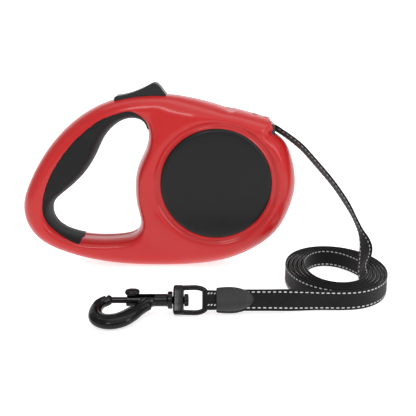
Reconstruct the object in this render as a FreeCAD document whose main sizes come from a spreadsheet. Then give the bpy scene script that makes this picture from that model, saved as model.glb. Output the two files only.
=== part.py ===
"""Retractable tape leash: egg-shaped case, spool and brake, tape, keeper, ring and bolt snap.

Frame, in millimetres: +X from the hand opening to the tape mouth, +Y from the front face to
the rear face, +Z up. The origin is under the middle of the case, on the surface it stands on.
"""
import FreeCAD
import Part
import math
import os
from FreeCAD import Placement, Rotation, Vector

doc = FreeCAD.newDocument("retractable_leash")
sheet = doc.addObject("Spreadsheet::Sheet", "dims")

DIMENSIONS = [
    # case
    ("case_half_width", 14.0), ("housing_half_width", 18.0), ("edge_round", 8.0),
    ("side_wall", 3.2), ("face_wall", 2.6), ("hole_wall", 2.4), ("hole_round", 3.0),
    ("housing_base_radius", 47.5), ("housing_taper", 42.0), ("housing_rise", 7.0),
    ("spool_room_radius", 37.0), ("spool_room_depth", 15.2),
    ("badge_radius", 36.5), ("badge_recess", 1.2), ("badge_gap", 0.3), ("badge_rim", 1.9),
    ("badge_dome", 1.1), ("badge_round", 0.9), ("nozzle_half_width", 10.0),
    ("grip_depth", 1.6), ("grip_proud", 0.4), ("grip_wrap", 3.0), ("grip_round", 1.9),
    ("button_slot_half", 7.0),
    # spool and power spring
    ("spool_x", 38.5), ("spool_z", 60.2), ("axle_radius", 3.0), ("run_gap", 0.05),
    ("hub_radius", 20.0), ("flange_radius", 42.0), ("flange_inner", 6.6), ("flange_outer", 8.2),
    ("roll_radius", 40.0), ("ratchet_depth", 2.7), ("tooth_height", 3.5), ("tooth_width", 5.0),
    ("cup_radius", 30.0), ("cup_wall", 1.6), ("cup_depth", 6.2), ("arbor_radius", 7.0),
    ("washer_radius", 7.0), ("washer_thick", 0.6), ("cover_thick", 0.4),
    ("cover_hole", 8.0), ("anchor_reach", 18.4), ("anchor_radius", 1.2),
    ("strip_thick", 0.5), ("strip_pitch", 1.9), ("strip_near", -8.9), ("strip_far", -14.1),
    # brake
    ("pivot_x", -30.5), ("pivot_z", 105.6), ("pivot_radius", 1.5), ("pivot_reach", 11.4), ("pillar_radius", 3.2),
    ("lever_half_width", 4.0),
    ("pawl_near", 8.4), ("pawl_far", 10.9), ("button_half_width", 6.5),
    # screws
    ("boss_radius", 3.4), ("screw_radius", 1.4), ("screw_head_radius", 2.8),
    ("screw_head_height", 1.8), ("head_seat", 6.0), ("screw_end", -8.5),
    # tape
    ("tape_width", 12.5), ("cord_diameter", 6.7), ("coil_pitch", 2.4), ("coil_turns", 5.25),
    ("coil_x", 112.5), ("coil_y", -43.0), ("coil_out_x", 31.0), ("coil_out_y", 38.0),
    # leash end: ring axis height, depth and the two leans
    ("end_x", 13.3), ("end_y", -86.0), ("end_z", 8.6), ("lean", 35.0), ("hook_roll", 12.0),
    ("keeper_long", 21.5), ("keeper_tall", 15.0), ("keeper_thick", 8.4), ("keeper_start", 24.6),
    ("keeper_nose", 7.0), ("tape_core", 1.8),
    ("ring_long", 20.8), ("ring_tall", 17.0), ("ring_wire", 3.0), ("block_long", 6.2),
    ("rivet_radius", 1.8), ("rivet_head", 3.6),
    ("shank_radius", 3.1), ("collar_radius", 5.0), ("bolt_radius", 1.9), ("bow_radius", 3.2),
]
for row, (alias, value) in enumerate(DIMENSIONS, start=1):
    sheet.set(f"A{row}", alias)
    sheet.set(f"B{row}", str(value))
    sheet.setAlias(f"B{row}", alias)
doc.recompute()


def dim(alias):
    """Value of a driving dimension, for the shapes that code builds."""
    return float(sheet.get(alias))


NODES = []


def node(obj, label):
    """Give a finished sub-part its node name."""
    obj.Label = label
    NODES.append(obj)
    return obj


# ------------------------------------------------------------------ outlines (x, z)

CASE_OUTLINE = [
    (0, -0.6), (25, 0.7), (44, 3.8), (64, 11.9), (79.5, 24), (88.6, 41), (92, 58), (88.9, 76),
    (83.6, 86.6), (75.6, 92.8), (63, 100.6), (47, 107.8), (24, 114.4), (0, 117.3), (-16, 116.2),
    (-34.6, 111.4), (-53.5, 100.8), (-71.1, 83.8), (-86.6, 59.2), (-92, 39.5),
    (-84.2, 20.6), (-66.1, 9.7), (-43, 3.2), (-22, 0.5),
]
HAND_OUTLINE = [
    (-15.8, 55), (-15.2, 63), (-12, 73), (-7.2, 84), (-6.2, 92), (-9, 99.5), (-16, 102),
    (-28, 97.6), (-36.5, 88.3), (-42, 77.5), (-48, 67.8), (-56, 59), (-65, 51.4),
    (-72.6, 43.5), (-73.6, 35.5), (-69.5, 28), (-61.5, 23.2), (-51, 20.6), (-37, 19.8),
    (-25, 20.6), (-16, 23.9), (-13, 29.5), (-13.6, 37), (-15.4, 46),
]
GRIP_OUTER = [
    (-10.5, 104.2), (-13.5, 106.4), (-18.6, 107.4), (-29.1, 104.6), (-38.1, 100.6),
    (-48.6, 92.7), (-56.9, 84.4), (-63.7, 76), (-69.7, 66.6), (-73.8, 57.5), (-76.4, 48.6),
    (-77.2, 39.5), (-74.2, 31), (-68, 24.6), (-60, 20), (-52.5, 17.4), (-47.5, 17),
]
NOZZLE = [(44, 108.6), (58, 105.9), (73.6, 101.6), (75, 92.4), (66, 84), (46, 98)]
MOUTH_CHANNEL = [(50, 101.5), (71, 98.4), (71, 92.6), (50, 94.5)]
SCREWS = [(-82, 36), (-50, 11.6), (-47.5, 95.8), (0, 9.5), (70.5, 24.5), (81, 79)]
LEVER_ROOM = [(-35.5, 102), (-27, 101), (-16, 103.5), (-2, 103.5), (-2, 113.5), (-20, 112.8),
              (-30, 109.8), (-35.5, 108)]


def at(x, z, y=0.0):
    return Vector(x, y, z)


def open_curve(points):
    """Smooth curve through (x, z) points in the plane y = 0."""
    curve = Part.BSplineCurve()
    curve.interpolate(Points=[at(x, z) for x, z in points])
    return curve


def closed_curve(points):
    """Smooth closed curve through (x, z) points in the plane y = 0."""
    curve = Part.BSplineCurve()
    curve.interpolate(Points=[at(x, z) for x, z in points], PeriodicFlag=True)
    return curve


def shifted(curve, distance, count=40):
    """The points of a curve moved sideways by distance, to the left of its direction."""
    first, last = curve.FirstParameter, curve.LastParameter
    points = []
    for i in range(count + 1):
        u = first + (last - first) * i / count
        spot = curve.value(u)
        way = curve.tangent(u)[0]
        points.append((spot.x - way.z * distance, spot.z + way.x * distance))
    return points


def closed_wire(points, inset=0.0):
    """Wire of a closed outline, moved towards its inside by inset."""
    curve = closed_curve(points)
    if inset:
        curve = closed_curve(shifted(curve, inset)[:-1])
    return Part.Wire([curve.toShape()])


def grip_inner(outset):
    """The stretch of the hand opening that the grip covers, top end first."""
    curve = closed_curve(HAND_OUTLINE)
    top = curve.parameter(at(-9.6, 100))
    bottom = curve.parameter(at(-46, 20.1))
    points = []
    count = 20
    for i in range(count + 1):
        u = top + (bottom - top) * i / count
        spot = curve.value(u)
        way = curve.tangent(u)[0]
        points.append((spot.x + way.z * outset, spot.z - way.x * outset))
    return points


def strip_face(outer, inner):
    """Face between two open curves that run the same way."""
    a = open_curve(outer)
    b = open_curve(inner)
    start = Part.LineSegment(b.StartPoint, a.StartPoint).toShape()
    end = Part.LineSegment(a.EndPoint, b.EndPoint).toShape()
    return Part.Face(Part.Wire([a.toShape(), end, b.toShape(), start]))


def prism(shape, y_from, y_to):
    """Extrude a wire or face of the plane y = 0 from y_from to y_to."""
    face = shape if shape.ShapeType == "Face" else Part.Face(shape)
    face = face.copy()
    face.translate(Vector(0, y_from, 0))
    return face.extrude(Vector(0, y_to - y_from, 0))


def polygon_wire(points):
    corners = [at(x, z) for x, z in points]
    return Part.makePolygon(corners + corners[:1])


def rod(x, z, radius, y_from, y_to):
    """Cylinder along Y."""
    return Part.makeCylinder(radius, y_to - y_from, Vector(x, y_from, z), Vector(0, 1, 0))


def tube(x, z, outer, inner, y_from, y_to):
    return rod(x, z, outer, y_from, y_to).cut(rod(x, z, inner, y_from, y_to))


def block(x_from, x_to, y_from, y_to, z_from, z_to):
    size = (x_to - x_from, y_to - y_from, z_to - z_from)
    return Part.makeBox(*size, Vector(x_from, y_from, z_from))


def edges_at(shape, y, near=None):
    """Edges that lie wholly in the plane y, optionally only those near an (x, z) test."""
    found = []
    for edge in shape.Edges:
        box = edge.BoundBox
        if abs(box.YMin - y) < 0.01 and abs(box.YMax - y) < 0.01:
            if near is None or near(box):
                found.append(edge)
    return found


def feature(label, shape):
    """Sub-part whose shape is computed from the sheet's values."""
    obj = doc.addObject("Part::Feature", label)
    obj.Shape = shape
    obj.Placement = shape.Placement
    return node(obj, label)


def mirrored(shape):
    """The same shape on the rear side of the parting plane."""
    return shape.mirror(Vector(0, 0, 0), Vector(0, 1, 0))


# ------------------------------------------------------------------ case shells


def outer_half():
    """Solid front half: egg with a rounded edge, raised housing, nozzle, hand opening."""
    depth = dim("case_half_width")
    egg = prism(closed_wire(CASE_OUTLINE), -depth, 0)
    egg = egg.makeFillet(dim("edge_round"), edges_at(egg, -depth))
    x, z = dim("spool_x"), dim("spool_z")
    rise = dim("housing_rise")
    base = dim("housing_base_radius")
    top = base - rise * math.tan(math.radians(dim("housing_taper")))
    seat = dim("housing_half_width") - rise
    dome = Part.makeCone(base, top, rise, Vector(x, -seat, z), Vector(0, -1, 0))
    nozzle = prism(polygon_wire(NOZZLE), -dim("nozzle_half_width"), 0)
    half = egg.fuse(dome).fuse(nozzle).removeSplitter()
    opening = prism(closed_wire(HAND_OUTLINE), -30, 5)
    half = half.cut(opening).cut(block(-60, 60, -30, 5, -5, 0))
    rim = edges_at(half, -depth, lambda box: box.XMax < -4 and box.XMin > -80)
    return half.makeFillet(dim("hole_round"), rim)


def cavity():
    """Inside of the front half, leaving the ring round the hand opening and the bosses."""
    shallow = dim("case_half_width") - dim("face_wall")
    room = prism(closed_wire(CASE_OUTLINE, dim("side_wall")), -shallow, 0)
    room = room.cut(prism(closed_wire(HAND_OUTLINE, -dim("hole_wall") - dim("grip_wrap")), -20, 1))
    room = room.fuse(rod(dim("spool_x"), dim("spool_z"), dim("spool_room_radius"),
                         -dim("spool_room_depth"), 0))
    for x, z in SCREWS:
        room = room.cut(rod(x, z, dim("boss_radius"), -20, 1))
    channel = prism(polygon_wire(MOUTH_CHANNEL), -7.2, 0)
    return room.fuse(channel).fuse(prism(polygon_wire(LEVER_ROOM), -lever_room(), 0))


def grip_solid(proud, reach=0.0):
    """Soft grip of one half: a face pad and a wrap round the edge of the hand opening.

    As a cutting tool it stands proud and reaches into the opening, so no sliver is left.
    """
    face_y = -dim("case_half_width")
    inner = grip_inner(-reach)
    pad = prism(strip_face(GRIP_OUTER, inner), face_y - proud, face_y + dim("grip_depth"))
    wrap = strip_face(grip_inner(dim("grip_wrap")), inner)
    return pad.fuse(prism(wrap, face_y - proud, 0))


def grip_shape():
    grip = grip_solid(dim("grip_proud")).removeSplitter()
    top = edges_at(grip, -dim("case_half_width") - dim("grip_proud"))
    rim = max(top, key=lambda edge: edge.Length)
    return grip.makeFillet(dim("grip_round"), [rim])


def front_half_shell():
    shell = outer_half().cut(cavity())
    shell = shell.cut(grip_solid(4.0, 1.5))
    x, z = dim("spool_x"), dim("spool_z")
    face = dim("housing_half_width")
    recess = dim("badge_radius") + dim("badge_gap")
    shell = shell.cut(rod(x, z, recess, -face - 1, dim("badge_recess") - face))
    slot = block(-28.6, 10.6, -dim("button_slot_half"), 0, 105, 125)
    shell = shell.cut(slot)
    return shell.cut(block(70, 80, -8.2, 0.5, 90.2, 98.2))


def front_shell_shape():
    shell = front_half_shell()
    for x, z in SCREWS:
        shell = shell.cut(rod(x, z, dim("screw_radius"), dim("screw_end"), 1))
    pivot = rod(dim("pivot_x"), dim("pivot_z"), dim("pivot_radius"), -dim("pivot_reach"), 0)
    pillar = rod(dim("pivot_x"), dim("pivot_z"), dim("pillar_radius"), -11.6, -lever_room())
    shelf = block(-3.4, 7, -11.6, 0, 90.5, 93)
    return shell.fuse(pillar).fuse(shelf).cut(pivot)


def lever_room():
    """Half the gap between the pillars that hold the brake lever."""
    return dim("lever_half_width") + 0.4


def rear_shell_shape():
    shell = mirrored(front_half_shell())
    seat = dim("head_seat")
    for x, z in SCREWS:
        shell = shell.cut(rod(x, z, dim("screw_radius") + 0.2, -1, seat + 1))
        shell = shell.cut(rod(x, z, dim("screw_head_radius") + 0.2, seat, 20))
    x, z = dim("spool_x"), dim("spool_z")
    stop = dim("flange_outer") + 0.1 + dim("washer_thick") + 0.05
    shell = shell.fuse(tube(x, z, dim("washer_radius"), dim("axle_radius"), stop, 15.4))
    pivot = rod(dim("pivot_x"), dim("pivot_z"), dim("pivot_radius"), 0, dim("pivot_reach"))
    pillar = rod(dim("pivot_x"), dim("pivot_z"), dim("pillar_radius"), lever_room(), 11.6)
    return shell.fuse(pillar).cut(pivot)


feature("front_shell", front_shell_shape())
feature("rear_shell", rear_shell_shape())
feature("front_grip", grip_shape())
feature("rear_grip", mirrored(grip_shape()))


# ------------------------------------------------------------------ parametric helpers


def bind(obj, **expressions):
    for name, expression in expressions.items():
        obj.setExpression(name.replace("__", "."), expression)
    return obj


def y_cylinder(name, x, z, radius, start, length):
    """Part::Cylinder along +Y; the arguments are expressions of the sheet's cells."""
    obj = doc.addObject("Part::Cylinder", name)
    obj.Placement.Rotation = Rotation(Vector(1, 0, 0), -90)
    return bind(obj, Radius=radius, Height=length, Placement__Base__x=x,
                Placement__Base__y=start, Placement__Base__z=z)


def cut(name, base, tool):
    obj = doc.addObject("Part::Cut", name)
    obj.Base = base
    obj.Tool = tool
    return obj


def y_tube(name, outer, inner, start, length):
    """Tube on the spool's axis, as the cut of two cylinders bound to the sheet."""
    body = y_cylinder(name + "_body", SPOOL_X, SPOOL_Z, outer, start, length)
    bore = y_cylinder(name + "_bore", SPOOL_X, SPOOL_Z, inner, start, length)
    return node(cut(name + "_cut", body, bore), name)


SPOOL_X = "dims.spool_x"
SPOOL_Z = "dims.spool_z"


# ------------------------------------------------------------------ badges


def badge(label, side):
    """Low domed disc that sits in the housing's recess; side is -1 at the front, 1 at the rear."""
    seat = "(dims.housing_half_width - dims.badge_recess)"
    if side < 0:
        start = f"-{seat} - dims.badge_rim - dims.badge_dome"
    else:
        start = seat
    disc = y_cylinder(label + "_disc", SPOOL_X, SPOOL_Z, "dims.badge_radius", start,
                      "dims.badge_rim + dims.badge_dome")
    ball = doc.addObject("Part::Sphere", label + "_ball")
    bow = "(dims.badge_radius ^ 2 / (2 * dims.badge_dome) + dims.badge_dome / 2)"
    middle = f"{seat} + dims.badge_rim + dims.badge_dome - {bow}"
    if side < 0:
        middle = f"{bow} - {seat} - dims.badge_rim - dims.badge_dome"
    bind(ball, Radius=bow, Placement__Base__x=SPOOL_X, Placement__Base__y=middle,
         Placement__Base__z=SPOOL_Z)
    dome = doc.addObject("Part::Common", label + "_dome")
    dome.Base = disc
    dome.Tool = ball
    doc.recompute()
    rim = dim("housing_half_width") - dim("badge_recess") + dim("badge_rim")
    edges = dome.Shape.Edges
    picked = [i + 1 for i, e in enumerate(edges)
              if max(abs(e.BoundBox.YMin - side * rim), abs(e.BoundBox.YMax - side * rim)) < 0.2]
    rounded = doc.addObject("Part::Fillet", label)
    rounded.Base = dome
    rounded.Edges = [(i, dim("badge_round"), dim("badge_round")) for i in picked]
    return node(rounded, label)


badge("front_badge", -1)
badge("rear_badge", 1)


# ------------------------------------------------------------------ screws, axle, washers


def case_screw(x, z):
    seat = dim("head_seat")
    head = rod(x, z, dim("screw_head_radius"), seat, seat + dim("screw_head_height"))
    body = rod(x, z, dim("screw_radius"), dim("screw_end"), seat)
    depth = seat + dim("screw_head_height")
    for turn in (0, 90):
        bar = block(-1.5, 1.5, depth - 0.9, depth + 1, -0.35, 0.35)
        bar.rotate(Vector(0, 0, 0), Vector(0, 1, 0), turn)
        bar.translate(Vector(x, 0, z))
        head = head.cut(bar)
    return head.fuse(body).removeSplitter()


feature("case_screws", Part.makeCompound([case_screw(x, z) for x, z in SCREWS]))
node(y_cylinder("axle", SPOOL_X, SPOOL_Z, "dims.axle_radius", "-dims.spool_room_depth",
                "2 * dims.spool_room_depth"), "spool_axle")


def thrust_washers_shape():
    gap = dim("flange_outer") + 0.1
    x, z = dim("spool_x"), dim("spool_z")
    bore = dim("axle_radius") + 0.1
    rear = tube(x, z, dim("washer_radius"), bore, gap, gap + dim("washer_thick"))
    return Part.makeCompound([rear, mirrored(rear)])


feature("thrust_washers", thrust_washers_shape())

y_tube("spring_arbor", "dims.arbor_radius", "dims.axle_radius", "-dims.spool_room_depth",
       "dims.spool_room_depth - dims.flange_outer - dims.washer_thick - 0.15")


# ------------------------------------------------------------------ spool


def ratchet_tooth(index, count):
    """One square tooth on the rear flange, index of count round the rim."""
    outer = dim("flange_radius")
    start = dim("flange_outer") - 0.2
    high = dim("tooth_height")
    wide = dim("tooth_width")
    end = dim("flange_outer") + dim("ratchet_depth")
    tooth = block(outer - high - 1.2, outer - 0.1, start, end, -wide / 2, wide / 2)
    tooth.rotate(Vector(0, 0, 0), Vector(0, 1, 0), 360.0 * (index + 0.5) / count - 110)
    return tooth


def spool_shape():
    """Hub, two flanges, spring cup and ratchet ring in one moulding, about the origin."""
    outer = dim("flange_outer")
    inner = dim("flange_inner")
    rim = dim("flange_radius")
    cup = dim("cup_radius")
    back = -outer - dim("cup_depth")
    spool = rod(0, 0, dim("hub_radius"), -outer, outer)
    spool = spool.fuse(rod(0, 0, rim, -outer, -inner)).fuse(rod(0, 0, rim, inner, outer))
    spool = spool.fuse(tube(0, 0, cup, cup - dim("cup_wall"), back, -outer))
    ring_top = outer + dim("ratchet_depth")
    spool = spool.fuse(tube(0, 0, rim - dim("tooth_height"), rim - dim("tooth_height") - 2.5,
                            outer, ring_top))
    spool = spool.fuse([ratchet_tooth(index, 24) for index in range(24)])
    spool = spool.cut(tube(0, 0, 16.5, 6.5, 2.0, outer + 1))
    spool = spool.cut(rod(0, 0, dim("axle_radius") + dim("run_gap"), -30, 30))
    spool = spool.cut(rod(dim("anchor_reach"), 0, dim("anchor_radius"), -outer - 1, outer + 1))
    return spool.removeSplitter()


def power_spring_shape():
    """Flat spiral strip, wound in half turns of growing radius."""
    strip = dim("strip_thick")
    pitch = dim("strip_pitch")
    inner = []
    outer = []
    radius = dim("arbor_radius") + 0.9
    centre = 0.0
    side = 1
    for _ in range(20):
        for edge, grow in ((inner, 0.0), (outer, strip)):
            reach = radius + grow
            edge.append(Part.Arc(at(centre - side * reach, 0), at(centre, side * reach),
                                 at(centre + side * reach, 0)).toShape())
        centre -= side * pitch / 2
        radius += pitch / 2
        side = -side
    last = inner[-1].Vertexes[-1].Point, outer[-1].Vertexes[-1].Point
    first = inner[0].Vertexes[0].Point, outer[0].Vertexes[0].Point
    ends = [Part.LineSegment(*last).toShape(), Part.LineSegment(*first).toShape()]
    wire = Part.Wire(Part.__sortEdges__(inner + outer + ends))
    return prism(wire, dim("strip_far"), dim("strip_near"))


def on_spool_axis(shape):
    shape.translate(Vector(dim("spool_x"), 0, dim("spool_z")))
    return shape


feature("spool", on_spool_axis(spool_shape()))
feature("power_spring", on_spool_axis(power_spring_shape()))
y_tube("spring_cover", "dims.cup_radius", "dims.cover_hole",
       "-dims.flange_outer - dims.cup_depth - dims.cover_thick", "dims.cover_thick")
y_tube("tape_roll", "dims.roll_radius", "dims.hub_radius", "-dims.tape_width / 2",
       "dims.tape_width")
node(y_cylinder("anchor", "dims.spool_x + dims.anchor_reach", SPOOL_Z, "dims.anchor_radius",
                "-dims.flange_outer",
                "2 * dims.flange_outer"), "tape_anchor_pin")


# ------------------------------------------------------------------ brake lever and button

LEVER = [(-33.8, 104.2), (-33.8, 107), (-31.5, 108.6), (-26, 108.8), (-14, 110.3), (8, 110.5),
         (25.5, 109.6), (27.5, 107.6), (24, 107.5), (9, 106.2), (-6, 106.6), (-16, 106.8),
         (-24.5, 104.6), (-27.5, 102.8), (-31.5, 102.5)]
PAWL = [(21.6, 109.2), (26.9, 108.8), (26.3, 102.6), (23.4, 103.2)]
BUTTON = [(-27.6, 113.2), (-27.4, 115.2), (-26, 116.2)]
BUTTON_THUMB = [(-26, 116.2), (-17, 117.9), (-8.4, 121.3), (-3.4, 123.9)]
BUTTON_NOSE = [(-3.4, 123.9), (-0.8, 124.3), (1.6, 122.8), (4.6, 118.8), (6, 117.2)]


def lever_shape():
    half = dim("lever_half_width")
    lever = prism(polygon_wire(LEVER), -half, half)
    reach = prism(polygon_wire(PAWL), half - 1, dim("pawl_far"))
    reach = reach.cut(block(20, 30, half - 2, dim("pawl_near"), 90, 107.4))
    lever = lever.fuse(reach)
    rail = block(-24, -2, -1.6, 1.6, 109, 112.6)
    lever = lever.fuse(rail)
    hole = rod(dim("pivot_x"), dim("pivot_z"), dim("pivot_radius") + dim("run_gap"), -20, 20)
    return lever.cut(hole).removeSplitter()


def button_shape():
    """Thumb wedge with a concave slope, hollowed underneath for the lever's rail."""
    thumb = open_curve(BUTTON_THUMB)
    nose = open_curve(BUTTON_NOSE)
    rear = [at(x, z) for x, z in BUTTON]
    front = [at(6, 117.2), at(6, 113.2), rear[0]]
    edges = Part.makePolygon(rear).Edges + [thumb.toShape(), nose.toShape()]
    edges += Part.makePolygon(front).Edges
    half = dim("button_half_width")
    wedge = prism(Part.Wire(edges), -half, half)
    rounded = [e for e in wedge.Edges if e.BoundBox.YLength < 0.01 and e.BoundBox.ZMax > 117]
    wedge = wedge.makeFillet(1.0, [e for e in rounded if e.BoundBox.ZMin > 115.5])
    groove = block(-27, 2, -1.7, 1.7, 112, 113.4)
    foot = block(-26.4, 4.6, -5, 5, 110.8, 113.2).cut(block(-27, 5, -1.7, 1.7, 110, 113.4))
    return wedge.cut(groove).fuse(foot).removeSplitter()


def helix_spring(radius, wire, pitch, height):
    """Coil spring standing on the plane z = 0, about the Z axis."""
    path = Part.Wire(Part.makeHelix(pitch, height - wire, radius).Edges)
    path.translate(Vector(0, 0, wire / 2))
    ring = Part.Wire(Part.makeCircle(wire / 2, path.Vertexes[0].Point, Vector(0, 1, 0)))
    return path.makePipeShell([ring], True, True)


lever_spring = helix_spring(2.3, 0.7, 2.2, 12.4)
lever_spring.translate(Vector(2.5, -2.8, 93.05))
feature("brake_lever", lever_shape())
feature("thumb_button", button_shape())
feature("lever_spring", lever_spring)
node(y_cylinder("lever_pin", "dims.pivot_x", "dims.pivot_z", "dims.pivot_radius",
                "-dims.pivot_reach", "2 * dims.pivot_reach"),
     "lever_pivot_pin")


# ------------------------------------------------------------------ mouth


def mouth_guide_shape():
    """Hard ferrule in the nozzle with a flared slot for the tape."""
    body = block(70, 77, -8.2, 8.2, 90.2, 98.2)
    body = body.makeFillet(1.2, edges_in_plane_x(body, 77))
    slot = block(69, 78, -6.9, 6.9, 93.6, 97.3)
    flare = prism(polygon_wire([(74, 93.6), (78, 91.6), (78, 97.6), (74, 97.3)]), -7.1, 7.1)
    return body.cut(slot).cut(flare)


def edges_in_plane_x(shape, x):
    return [e for e in shape.Edges
            if abs(e.BoundBox.XMin - x) < 0.01 and abs(e.BoundBox.XMax - x) < 0.01]


feature("mouth_guide", mouth_guide_shape())


# ------------------------------------------------------------------ tape


def along(route, radius_of):
    """Straight runs joined by tangent arcs, with the arc radii it used."""
    edges = []
    radii = []
    start = route[0]
    for before, corner, after in zip(route, route[1:], route[2:]):
        back = before - corner
        ahead = after - corner
        runs = min(back.Length, ahead.Length)
        turn = math.pi - back.getAngle(ahead)
        radius = radius_of * runs / math.tan(turn / 2)
        reach = radius * math.tan(turn / 2)
        first = corner + back.normalize() * reach
        last = corner + ahead.normalize() * reach
        middle = (first + last) * 0.5
        depth = radius / math.cos(turn / 2) - radius
        inward = middle - corner
        edges.append(Part.LineSegment(start, first).toShape())
        edges.append(Part.Arc(first, corner + inward.normalize() * depth, last).toShape())
        radii.append(round(radius, 1))
        start = last
    edges.append(Part.LineSegment(start, route[-1]).toShape())
    return Part.Wire(edges), radii


def cord_tube(route, radius):
    path, radii = along([Vector(*p) for p in route], 0.45)
    way = path.Edges[0].tangentAt(path.Edges[0].FirstParameter)
    ring = Part.Wire(Part.makeCircle(radius, Vector(*route[0]), way))
    solid = path.makePipeShell([ring], True, False)
    expected = math.pi * radius * radius * path.Length
    ratio = solid.Volume / expected
    print("cord length %.1f arc radii %s volume ratio %.4f" % (path.Length, radii, ratio))
    return solid


# mouth to the top of the coil, then down into its innermost turn
FREE_ROUTE = [(77.0, 0.0, 95.2), (92.0, -3.5, 86.3), (104.5, -7.5, 72.5), (116.5, -11.5, 59.0),
              (126.5, -15.0, 44.5), (133.0, -19.5, 30.5), (134.5, -28.0, 20.0),
              (132.0, -39.0, 12.5), (128.0, -52.0, 8.0)]
# outer turn to the keeper
RUN_ROUTE = [(112.5, -81.0, 6.25), (97.0, -81.4, 6.6), (79.0, -83.6, 7.6), (59.6, -86.0, 8.6)]


def tape_coil_shape():
    """Outer shape of the coil: an oval ring one tape high."""
    ring = []
    tape = dim("cord_diameter") * 0.12
    width = dim("coil_pitch") * dim("coil_turns")
    for grow in (tape, -width - tape):
        oval = Part.Ellipse(Vector(0, 0, 0), dim("coil_out_y") + grow, dim("coil_out_x") + grow)
        ring.append(Part.Face(Part.Wire([oval.toShape()])))
    solid = ring[0].cut(ring[1]).extrude(Vector(0, 0, dim("tape_width")))
    solid.rotate(Vector(0, 0, 0), Vector(0, 0, 1), 90)
    solid.translate(Vector(dim("coil_x"), dim("coil_y"), 0))
    return solid


def tape_feed_shape():
    """Tape between the roll and the mouth, inside the case."""
    half = dim("tape_width") / 2
    band = [(46.5, 101.1), (77, 95.8), (77, 94.6), (46.5, 100.1)]
    return prism(polygon_wire(band), -half, half)


feature("tape_feed", tape_feed_shape())
feature("tape_free", cord_tube(FREE_ROUTE, dim("cord_diameter") / 2))
feature("tape_coil", tape_coil_shape())
feature("tape_run", cord_tube(RUN_ROUTE, dim("cord_diameter") / 2))


# ------------------------------------------------------------------ keeper, ring and hook


def end_placement(turn):
    """Frame of the leash end: origin on the swivel axis, turned about X."""
    base = Vector(dim("end_x"), dim("end_y"), dim("end_z"))
    return Placement(base, Rotation(Vector(1, 0, 0), turn))


def leaned(label, shape, turn):
    shape.Placement = end_placement(turn).multiply(shape.Placement)
    return feature(label, shape)


def keeper_half(sign):
    """One cheek of the keeper: round nose towards the tape, flat end towards the ring."""
    tall = dim("keeper_tall")
    half = dim("keeper_thick") / 2
    start = dim("keeper_start")
    end = start + dim("keeper_long")
    y_from, y_to = (0, half) if sign > 0 else (-half, 0)
    cheek = block(start, end, y_from, y_to, -tall / 2, tall / 2)
    nose = [e for e in cheek.Edges if e.BoundBox.XMin > end - 0.01 and e.BoundBox.YLength > 1]
    cheek = cheek.makeFillet(dim("keeper_nose"), nose)
    skin = edges_at(cheek, sign * half)
    cheek = cheek.makeFillet(min(2.6, half * 0.6), skin)
    thick = dim("tape_core") / 2
    wide = dim("tape_width") / 2 + 0.1
    return cheek.cut(block(start - 1, end + 1, -thick, thick, -wide, wide))


def tape_end_shape():
    """Tape core inside the keeper and the stitched neck round the ring's bar."""
    half = dim("tape_width") / 2
    start = dim("keeper_start")
    thick = dim("tape_core") / 2
    core = block(start, start + dim("keeper_long"), -thick, thick, -half, half)
    bar = dim("ring_long") - dim("ring_wire") / 2
    neck = block(bar, start, -2.4, 2.4, -5.2, 5.2)
    loop = Part.makeCylinder(3.1, 10.4, Vector(bar, 0, -5.2), Vector(0, 0, 1))
    bore = dim("ring_wire") / 2 + dim("run_gap")
    eye = Part.makeCylinder(bore, 12, Vector(bar, 0, -6), Vector(0, 0, 1))
    return core.fuse(neck).fuse(loop).cut(eye).removeSplitter()


def ring_shape():
    """Swivel ring: thick block at the hook's end, two sides and a round bar for the tape."""
    tall = dim("ring_tall") / 2
    wire = dim("ring_wire")
    long_side = dim("ring_long")
    bar_x = long_side - wire / 2
    ring = block(0, dim("block_long"), -2.6, 2.6, -tall, tall)
    ring = ring.makeFillet(1.2, [e for e in ring.Edges if e.BoundBox.XLength < 0.01])
    for side in (-1, 1):
        z = side * (tall - wire / 2)
        ring = ring.fuse(Part.makeCylinder(wire / 2, bar_x - 3, Vector(3, 0, z), Vector(1, 0, 0)))
        ring = ring.fuse(Part.makeSphere(wire / 2, Vector(bar_x, 0, z)))
    ring = ring.fuse(Part.makeCylinder(wire / 2, 2 * tall - wire, Vector(bar_x, 0, wire / 2 - tall),
                                       Vector(0, 0, 1)))
    return ring.cut(x_rod(dim("rivet_radius") + dim("run_gap"), -1, 8)).removeSplitter()


def x_rod(radius, x_from, x_to):
    """Cylinder on the leash end's X axis."""
    return Part.makeCylinder(radius, x_to - x_from, Vector(x_from, 0, 0), Vector(1, 0, 0))


BOW_ROUTE = [(-12.0, 0.0), (-17.5, -6.0), (-22.0, -13.5), (-27.5, -20.0), (-35.0, -22.0),
             (-41.5, -18.5), (-43.4, -11.0), (-41.6, -3.6), (-37.4, -0.2)]


def hook_shape():
    """Cast hook body: collar, bored shank with a thumb slot, arm and bow."""
    collar = x_rod(dim("collar_radius"), -3.0, -0.3)
    neck = x_rod(dim("rivet_radius"), -1, dim("block_long") + 0.2)
    head = x_rod(dim("rivet_head"), dim("block_long") + 0.2, dim("block_long") + 2.8)
    head = head.makeFillet(1.1, edges_in_plane_x(head, dim("block_long") + 2.8))
    shank = x_rod(dim("shank_radius"), -26.5, -2.5)
    bow = bow_bar()
    tip = Part.makeSphere(dim("bow_radius") * 0.999, Vector(*BOW_ROUTE[-1], 0))
    hook = collar.fuse([neck, head, shank, bow, tip])
    bore = x_rod(dim("bolt_radius") + dim("run_gap"), -39.4, -7.0)
    hook = hook.cut(bore)
    slot = block(-30, -10.4, -1.4, 1.4, 0, 6)
    hook = hook.cut(slot)
    gap = block(-37.2, -26.5, -2.4, 6, -5, 5)
    return hook.cut(gap).removeSplitter()


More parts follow.
